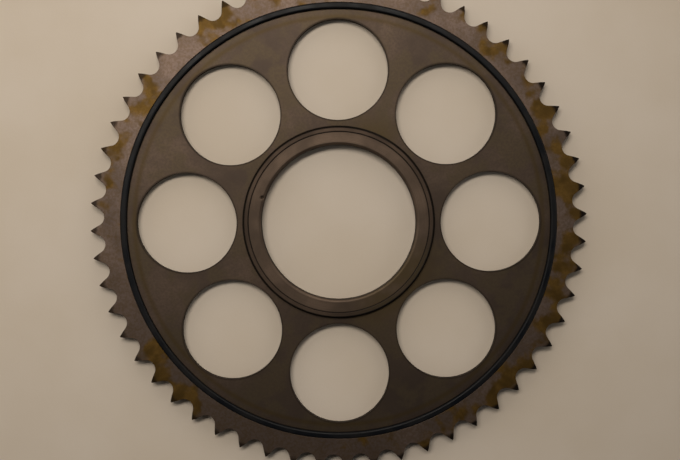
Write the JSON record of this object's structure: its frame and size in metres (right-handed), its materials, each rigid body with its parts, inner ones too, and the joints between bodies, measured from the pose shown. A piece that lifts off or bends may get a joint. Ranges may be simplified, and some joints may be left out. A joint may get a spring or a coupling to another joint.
{
  "type": "motorcycle rear sprocket",
  "caption": "Flat toothed steel ring joined by a black elastomer ring to a recessed web with round lightening holes, a proud hub ring and a wide plain bore.",
  "frame": {"origin": "on the sprocket's axis, at the back face", "axes": "+Z along the axis, from the back face to the front face; +X through the middle of one lightening hole, within 0.3 degrees; +Y a quarter turn further, through the next but one"},
  "size_m": [0.289, 0.289, 0.007],
  "materials": {
    "rim_steel": "ground steel, dulled, with brown and olive oil stains and blackened tooth tips",
    "damper_rubber": "black elastomer, slightly glossy, with a bluish sheen",
    "web_steel": "smooth oiled dark steel, faint mottling",
    "hub_steel": "turned steel with fine concentric marks",
    "bush_steel": "turned steel, dark with old oil, with fine concentric marks"
  },
  "bodies": {
    "root": {"toothed_ring": "rim_steel", "damper_ring": "damper_rubber", "web_disc": "web_steel", "hub_ring": "hub_steel", "bore_bush": "bush_steel"}
  },
  "joints": []
}
